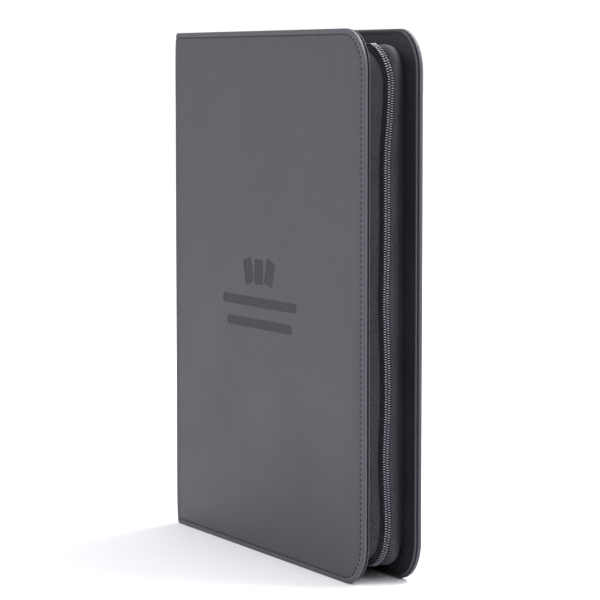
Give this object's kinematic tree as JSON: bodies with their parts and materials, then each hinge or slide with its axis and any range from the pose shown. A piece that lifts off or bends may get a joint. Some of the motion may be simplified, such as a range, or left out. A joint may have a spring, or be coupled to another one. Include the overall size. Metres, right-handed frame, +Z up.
{
  "type": "trading card binder",
  "caption": "Zip-around binder with padded covers, a folding spine, gusset walls, a coil zipper and bound leaves of side-loading card pockets.",
  "frame": {"origin": "on the standing surface, under the middle of the closed binder", "axes": "+X from the spine to the zipped fore edge, +Y from the front cover to the back cover, +Z up"},
  "size_m": [0.285, 0.041, 0.35],
  "materials": {
    "cover_skin": "satin, fine woven grain",
    "padding_foam": "open-cell foam",
    "greyboard": "pressed board",
    "lining": "matte woven",
    "gusset_skin": "satin",
    "zipper_tape": "twill weave",
    "zipper_coil": "moulded",
    "slider_metal": "black enamel",
    "emblem": "heat pressed",
    "page_film": "clear pockets on a black backing"
  },
  "bodies": {
    "back_cover": {"back_cover_skin": "cover_skin", "back_cover_padding": "padding_foam", "back_cover_board": "greyboard", "back_cover_lining": "lining", "rear_gusset": "gusset_skin", "rear_zipper_tape": "zipper_tape", "rear_zipper_coil": "zipper_coil", "rear_tape_end_tabs": "gusset_skin", "rear_top_stop": "slider_metal", "zipper_bottom_stop": "slider_metal"},
    "spine": {"spine_skin": "cover_skin", "spine_padding": "padding_foam", "spine_board": "greyboard", "spine_lining": "lining", "page_binding_strip": "lining", "front_fold_skin": "cover_skin", "front_fold_lining": "lining", "rear_fold_skin": "cover_skin", "rear_fold_lining": "lining"},
    "front_cover": {"front_cover_skin": "cover_skin", "front_cover_emblem": "emblem", "front_cover_padding": "padding_foam", "front_cover_board": "greyboard", "front_cover_lining": "lining", "front_gusset": "gusset_skin", "front_zipper_tape": "zipper_tape", "front_zipper_coil": "zipper_coil", "front_tape_end_tabs": "gusset_skin", "front_top_stop": "slider_metal"},
    "slider": {"slider_body": "slider_metal", "slider_crown": "slider_metal"},
    "pull_tab": {"pull_tab": "slider_metal"},
    "page_01": {"page_01": "page_film"},
    "page_02": {"page_02": "page_film"},
    "page_03": {"page_03": "page_film"},
    "page_04": {"page_04": "page_film"},
    "page_05": {"page_05": "page_film"},
    "page_06": {"page_06": "page_film"},
    "page_07": {"page_07": "page_film"},
    "page_08": {"page_08": "page_film"},
    "page_09": {"page_09": "page_film"},
    "page_10": {"page_10": "page_film"},
    "page_11": {"page_11": "page_film"},
    "page_12": {"page_12": "page_film"},
    "page_13": {"page_13": "page_film"},
    "page_14": {"page_14": "page_film"},
    "page_15": {"page_15": "page_film"},
    "page_16": {"page_16": "page_film"},
    "page_17": {"page_17": "page_film"},
    "page_18": {"page_18": "page_film"},
    "page_19": {"page_19": "page_film"},
    "page_20": {"page_20": "page_film"}
  },
  "joints": [
    {"name": "spine_fold", "type": "hinge", "parent": "back_cover", "child": "spine", "pos_m": [-0.14, 0.018, 0.175], "axis": [0, 0, -1], "range_deg": [0, 90], "deforming": ["rear_fold_skin", "rear_fold_lining"]},
    {"name": "front_cover_fold", "type": "hinge", "parent": "spine", "child": "front_cover", "pos_m": [-0.14, -0.018, 0.175], "axis": [0, 0, -1], "range_deg": [0, 90], "deforming": ["front_fold_skin", "front_fold_lining"]},
    {"name": "zipper_slide", "type": "slide", "parent": "back_cover", "child": "slider", "axis": [1, 0, 0], "range_m": [0, 0.22]},
    {"name": "pull_tab_hinge", "type": "hinge", "parent": "slider", "child": "pull_tab", "pos_m": [-0.116, 0, 0.34335], "axis": [0, -1, 0], "range_deg": [0, 135]},
    {"name": "page_01_turn", "type": "hinge", "parent": "spine", "child": "page_01", "pos_m": [-0.137, -0.01378, 0.175], "axis": [0, 0, -1], "range_deg": [0, 75.2]},
    {"name": "page_02_turn", "type": "hinge", "parent": "spine", "child": "page_02", "pos_m": [-0.137, -0.01232, 0.175], "axis": [0, 0, -1], "range_deg": [0, 67.33]},
    {"name": "page_03_turn", "type": "hinge", "parent": "spine", "child": "page_03", "pos_m": [-0.137, -0.01087, 0.175], "axis": [0, 0, -1], "range_deg": [0, 59.48]},
    {"name": "page_04_turn", "type": "hinge", "parent": "spine", "child": "page_04", "pos_m": [-0.137, -0.00942, 0.175], "axis": [0, 0, -1], "range_deg": [0, 51.61]},
    {"name": "page_05_turn", "type": "hinge", "parent": "spine", "child": "page_05", "pos_m": [-0.137, -0.00797, 0.175], "axis": [0, 0, -1], "range_deg": [0, 43.74]},
    {"name": "page_06_turn", "type": "hinge", "parent": "spine", "child": "page_06", "pos_m": [-0.137, -0.00653, 0.175], "axis": [0, 0, -1], "range_deg": [0, 35.89]},
    {"name": "page_07_turn", "type": "hinge", "parent": "spine", "child": "page_07", "pos_m": [-0.137, -0.00507, 0.175], "axis": [0, 0, -1], "range_deg": [0, 28.02]},
    {"name": "page_08_turn", "type": "hinge", "parent": "spine", "child": "page_08", "pos_m": [-0.137, -0.00363, 0.175], "axis": [0, 0, -1], "range_deg": [0, 20.16]},
    {"name": "page_09_turn", "type": "hinge", "parent": "spine", "child": "page_09", "pos_m": [-0.137, -0.00217, 0.175], "axis": [0, 0, -1], "range_deg": [0, 12.3]},
    {"name": "page_10_turn", "type": "hinge", "parent": "spine", "child": "page_10", "pos_m": [-0.137, -0.00072, 0.175], "axis": [0, 0, -1], "range_deg": [0, 4.43]},
    {"name": "page_11_turn", "type": "hinge", "parent": "spine", "child": "page_11", "pos_m": [-0.137, 0.00072, 0.175], "axis": [0, 0, -1], "range_deg": [-4.43, 0]},
    {"name": "page_12_turn", "type": "hinge", "parent": "spine", "child": "page_12", "pos_m": [-0.137, 0.00217, 0.175], "axis": [0, 0, -1], "range_deg": [-12.3, 0]},
    {"name": "page_13_turn", "type": "hinge", "parent": "spine", "child": "page_13", "pos_m": [-0.137, 0.00363, 0.175], "axis": [0, 0, -1], "range_deg": [-20.16, 0]},
    {"name": "page_14_turn", "type": "hinge", "parent": "spine", "child": "page_14", "pos_m": [-0.137, 0.00507, 0.175], "axis": [0, 0, -1], "range_deg": [-28.02, 0]},
    {"name": "page_15_turn", "type": "hinge", "parent": "spine", "child": "page_15", "pos_m": [-0.137, 0.00653, 0.175], "axis": [0, 0, -1], "range_deg": [-35.89, 0]},
    {"name": "page_16_turn", "type": "hinge", "parent": "spine", "child": "page_16", "pos_m": [-0.137, 0.00797, 0.175], "axis": [0, 0, -1], "range_deg": [-43.74, 0]},
    {"name": "page_17_turn", "type": "hinge", "parent": "spine", "child": "page_17", "pos_m": [-0.137, 0.00942, 0.175], "axis": [0, 0, -1], "range_deg": [-51.61, 0]},
    {"name": "page_18_turn", "type": "hinge", "parent": "spine", "child": "page_18", "pos_m": [-0.137, 0.01087, 0.175], "axis": [0, 0, -1], "range_deg": [-59.48, 0]},
    {"name": "page_19_turn", "type": "hinge", "parent": "spine", "child": "page_19", "pos_m": [-0.137, 0.01232, 0.175], "axis": [0, 0, -1], "range_deg": [-67.33, 0]},
    {"name": "page_20_turn", "type": "hinge", "parent": "spine", "child": "page_20", "pos_m": [-0.137, 0.01378, 0.175], "axis": [0, 0, -1], "range_deg": [-75.2, 0]}
  ],
  "couplings": [
    {"joint": "front_cover_fold", "follows": "spine_fold", "ratio": 1},
    {"joint": "page_01_turn", "follows": "spine_fold", "ratio": 0.83},
    {"joint": "page_02_turn", "follows": "spine_fold", "ratio": 0.7426},
    {"joint": "page_03_turn", "follows": "spine_fold", "ratio": 0.6553},
    {"joint": "page_04_turn", "follows": "spine_fold", "ratio": 0.5679},
    {"joint": "page_05_turn", "follows": "spine_fold", "ratio": 0.4805},
    {"joint": "page_06_turn", "follows": "spine_fold", "ratio": 0.3932},
    {"joint": "page_07_turn", "follows": "spine_fold", "ratio": 0.3058},
    {"joint": "page_08_turn", "follows": "spine_fold", "ratio": 0.2184},
    {"joint": "page_09_turn", "follows": "spine_fold", "ratio": 0.1311},
    {"joint": "page_10_turn", "follows": "spine_fold", "ratio": 0.0437},
    {"joint": "page_11_turn", "follows": "spine_fold", "ratio": -0.0437},
    {"joint": "page_12_turn", "follows": "spine_fold", "ratio": -0.1311},
    {"joint": "page_13_turn", "follows": "spine_fold", "ratio": -0.2184},
    {"joint": "page_14_turn", "follows": "spine_fold", "ratio": -0.3058},
    {"joint": "page_15_turn", "follows": "spine_fold", "ratio": -0.3932},
    {"joint": "page_16_turn", "follows": "spine_fold", "ratio": -0.4805},
    {"joint": "page_17_turn", "follows": "spine_fold", "ratio": -0.5679},
    {"joint": "page_18_turn", "follows": "spine_fold", "ratio": -0.6553},
    {"joint": "page_19_turn", "follows": "spine_fold", "ratio": -0.7426},
    {"joint": "page_20_turn", "follows": "spine_fold", "ratio": -0.83}
  ]
}
